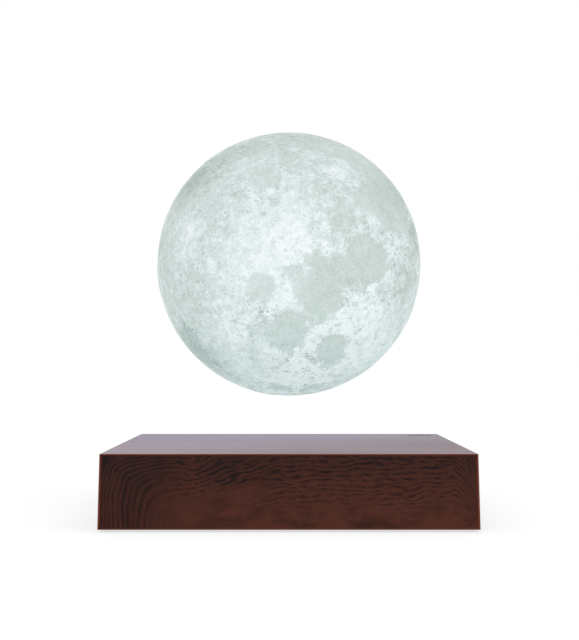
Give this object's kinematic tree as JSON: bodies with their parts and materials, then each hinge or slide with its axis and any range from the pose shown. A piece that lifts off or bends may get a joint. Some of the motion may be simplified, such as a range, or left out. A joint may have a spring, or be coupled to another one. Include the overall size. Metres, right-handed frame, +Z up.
{
  "type": "levitating lamp",
  "caption": "Square wood-grain base with a flat top and a round lit moon globe that floats above it on a magnetic field, free to spin.",
  "frame": {"origin": "on the table, under the middle of the square base", "axes": "+Z up through the moon, -Y out of the front, +X to the right seen from the front"},
  "size_m": [0.108, 0.108, 0.1218],
  "materials": {
    "wood_grain": "satin",
    "black_plastic": "matte",
    "green_board": "satin",
    "ferrite": "matte",
    "copper": "satin",
    "nickel": "polished",
    "steel": "satin",
    "capacitor_sleeve": "gloss",
    "rubber": "matte",
    "white_plastic": "satin",
    "white_board": "satin",
    "black_chip": "matte",
    "moon_resin": "matte",
    "led_lens": "gloss"
  },
  "bodies": {
    "base": {"base_housing": "wood_grain", "bottom_cover": "black_plastic", "main_board": "green_board", "magnet_tray": "black_plastic", "ring_magnet": "ferrite", "transmit_coil": "copper", "sensor_board": "green_board", "power_jack": "black_plastic", "jack_pin": "nickel", "touch_spring": "steel", "bulk_capacitor": "capacitor_sleeve", "power_inductor": "ferrite", "foot_1": "rubber", "foot_2": "rubber", "foot_3": "rubber", "foot_4": "rubber", "case_screw_1": "steel", "case_screw_2": "steel", "case_screw_3": "steel", "case_screw_4": "steel", "coil_bobbin_1": "white_plastic", "coil_winding_1": "copper", "coil_core_1": "steel", "coil_bobbin_2": "white_plastic", "coil_winding_2": "copper", "coil_core_2": "steel", "coil_bobbin_3": "white_plastic", "coil_winding_3": "copper", "coil_core_3": "steel", "coil_bobbin_4": "white_plastic", "coil_winding_4": "copper", "coil_core_4": "steel", "hall_sensor_1": "black_chip", "hall_sensor_2": "black_chip", "hall_sensor_3": "black_chip", "driver_chip_1": "black_chip", "driver_chip_2": "black_chip", "controller_chip": "black_chip"},
    "float_core": {"float_magnet": "nickel"},
    "moon": {"moon_shell": "moon_resin", "hatch_plug": "moon_resin", "receive_coil": "copper", "rectifier_board": "green_board", "light_post": "white_plastic", "light_board": "white_board", "bridge_rectifier": "black_chip", "smoothing_capacitor": "capacitor_sleeve", "light_lead": "rubber", "led_1": "led_lens", "led_2": "led_lens", "led_3": "led_lens", "led_4": "led_lens", "led_5": "led_lens", "led_6": "led_lens", "post_screw_1": "steel", "post_screw_2": "steel"}
  },
  "joints": [
    {"name": "float_lift", "type": "slide", "parent": "base", "child": "float_core", "axis": [0, 0, 1], "range_m": [-0.0148, 0.03], "stiffness_N_per_m": 150, "springref_m": 0.00585},
    {"name": "float_spin", "type": "hinge", "parent": "float_core", "child": "moon", "pos_m": [0, 0, 0.0795], "axis": [0, 0, 1], "continuous": true}
  ]
}
